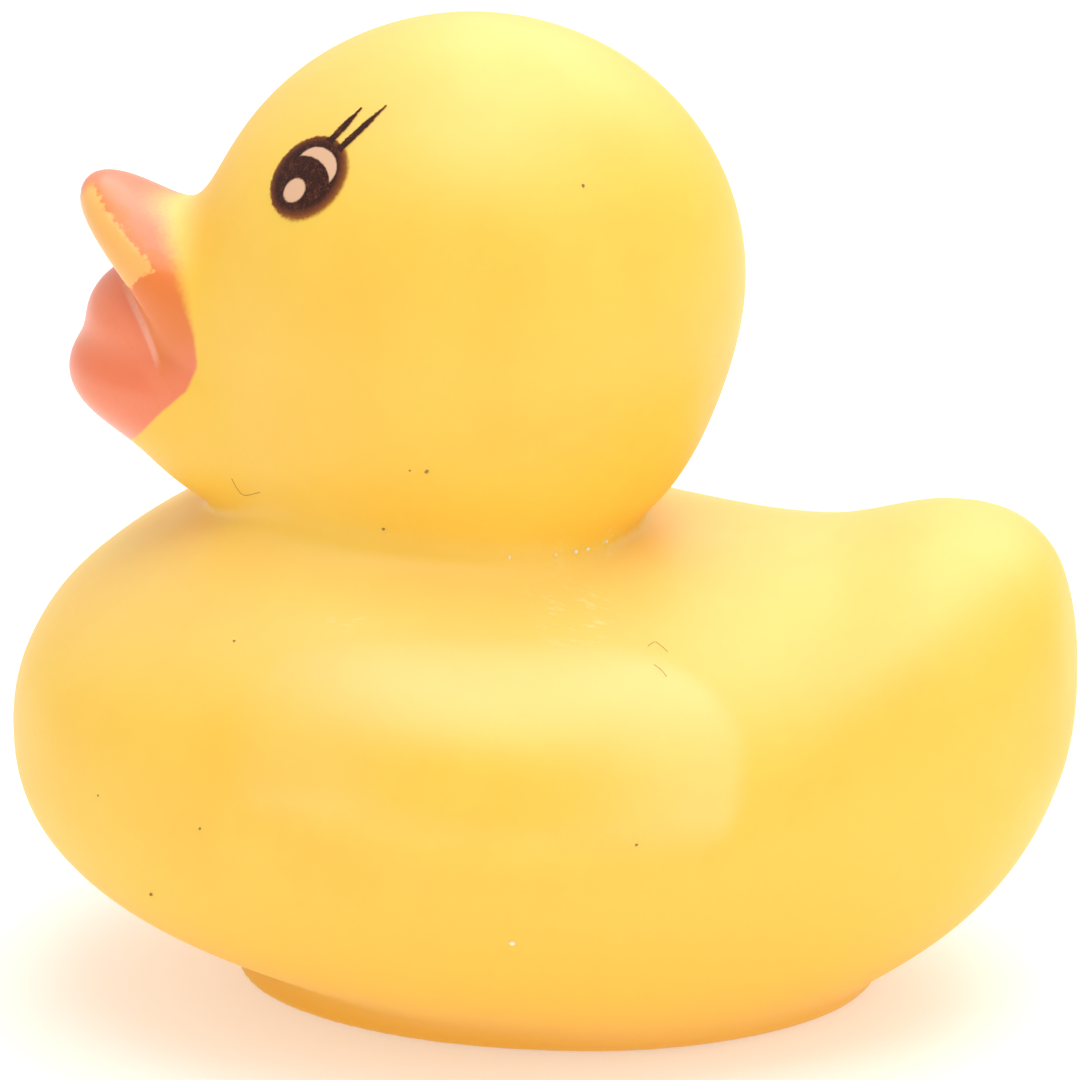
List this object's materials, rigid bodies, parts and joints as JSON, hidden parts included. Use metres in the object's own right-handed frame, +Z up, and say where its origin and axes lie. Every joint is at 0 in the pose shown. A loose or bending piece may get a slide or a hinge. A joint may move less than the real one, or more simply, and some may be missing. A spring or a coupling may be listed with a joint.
{
  "type": "rubber duck",
  "caption": "Small hollow duck of soft yellow vinyl that stands on a flat base, with an open coral bill, raised wing pads, an upturned tail and printed eyes",
  "frame": {"origin": "centre of the bounding box's footprint, on the surface the duck stands on", "axes": "+Z up, bill towards -Y, tail towards +Y, the duck's left side towards +X, plane of symmetry at x = 0"},
  "size_m": [0.0464, 0.055, 0.0509],
  "materials": {
    "yellow_vinyl": "satin soft vinyl"
  },
  "bodies": {
    "root": {"duck_shell": "yellow_vinyl"}
  },
  "joints": []
}
